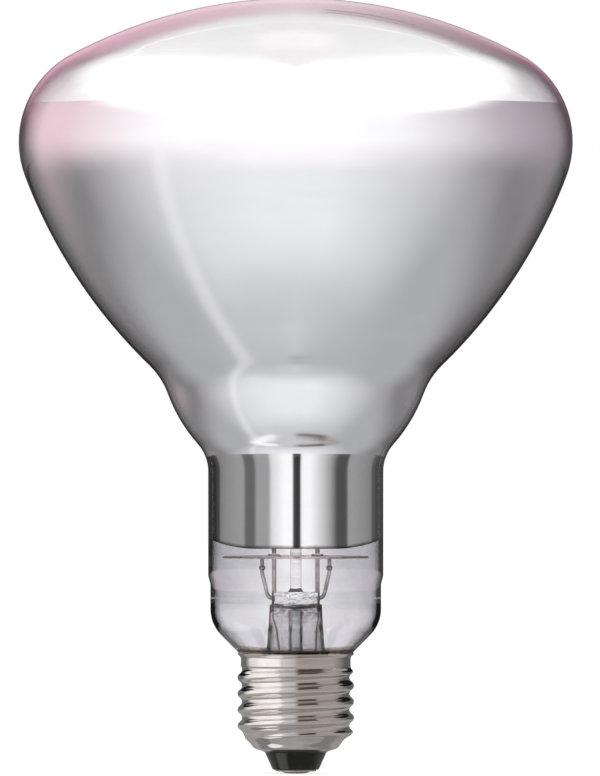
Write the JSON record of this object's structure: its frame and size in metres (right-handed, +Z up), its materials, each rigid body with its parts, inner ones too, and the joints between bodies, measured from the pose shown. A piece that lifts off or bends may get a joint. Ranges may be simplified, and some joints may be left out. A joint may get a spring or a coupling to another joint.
{
  "type": "infrared heat lamp bulb",
  "caption": "Mushroom-shaped reflector bulb with a clear front, mirrored flank, clear lower neck showing the stem, and a nickel screw cap",
  "frame": {"origin": "middle of the flat foot of the solder drop under the centre contact, on the lamp's axis", "axes": "+Z runs up the axis from the cap to the dome; X lies in the plane of the two leads; +Y points to the side solder at the back"},
  "size_m": [0.125, 0.125, 0.1749],
  "materials": {
    "clear_glass": "clear soft glass, very faint pink",
    "stem_glass": "clear lead-free stem glass",
    "mirror_film": "vapour-deposited aluminium, satin on the flank and bright in the neck",
    "nickel_shell": "bright nickel-plated sheet",
    "black_glass": "glossy black moulded glass",
    "contact_brass": "nickel-plated brass, bright",
    "solder": "smooth grey tin solder",
    "cement": "matt baked cement",
    "nickel_wire": "drawn nickel wire",
    "copper_wire": "drawn copper wire, slightly dulled",
    "shield_metal": "stamped disc, faintly pink from heat",
    "molybdenum": "fine drawn wire, satin",
    "tungsten": "dark coiled wire"
  },
  "bodies": {
    "root": {"glass_bulb": "clear_glass", "mirror_film": "mirror_film", "cap_shell": "nickel_shell", "cap_insulator": "black_glass", "centre_contact": "contact_brass", "centre_solder": "solder", "side_solder": "solder", "cement_ring": "cement", "stem_tube": "stem_glass", "exhaust_tube": "stem_glass", "arbor_rod": "stem_glass", "inner_lead_left": "nickel_wire", "inner_lead_right": "nickel_wire", "seal_wire_left": "copper_wire", "seal_wire_right": "copper_wire", "outer_lead_centre": "copper_wire", "outer_lead_side": "copper_wire", "heat_shield": "shield_metal", "shield_wire_left": "nickel_wire", "shield_wire_right": "nickel_wire", "support_wire_1": "molybdenum", "support_wire_2": "molybdenum", "support_wire_3": "molybdenum", "support_wire_4": "molybdenum", "support_wire_5": "molybdenum", "filament": "tungsten"}
  },
  "joints": []
}
